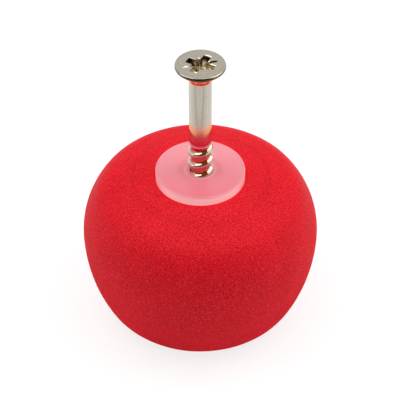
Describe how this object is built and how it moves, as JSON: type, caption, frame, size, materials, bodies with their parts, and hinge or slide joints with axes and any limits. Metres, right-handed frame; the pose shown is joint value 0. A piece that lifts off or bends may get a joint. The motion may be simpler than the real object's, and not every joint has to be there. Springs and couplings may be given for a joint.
{
  "type": "furniture knob",
  "caption": "Soft foam furniture knob with a plastic screw insert and a countersunk wood screw that fixes it from behind a drawer front or door.",
  "frame": {"origin": "middle of the flat front face, which the knob stands on", "axes": "+Z along the screw, from the knob's front face to its fixing side"},
  "size_m": [0.04, 0.04, 0.0495],
  "materials": {
    "foam": "matt skin of soft moulded foam, with fine pores",
    "insert_plastic": "natural translucent plastic, moulded",
    "nickel_plate": "bright nickel plate on steel"
  },
  "bodies": {
    "root": {"foam_body": "foam", "screw_insert": "insert_plastic", "wood_screw": "nickel_plate"}
  },
  "joints": []
}
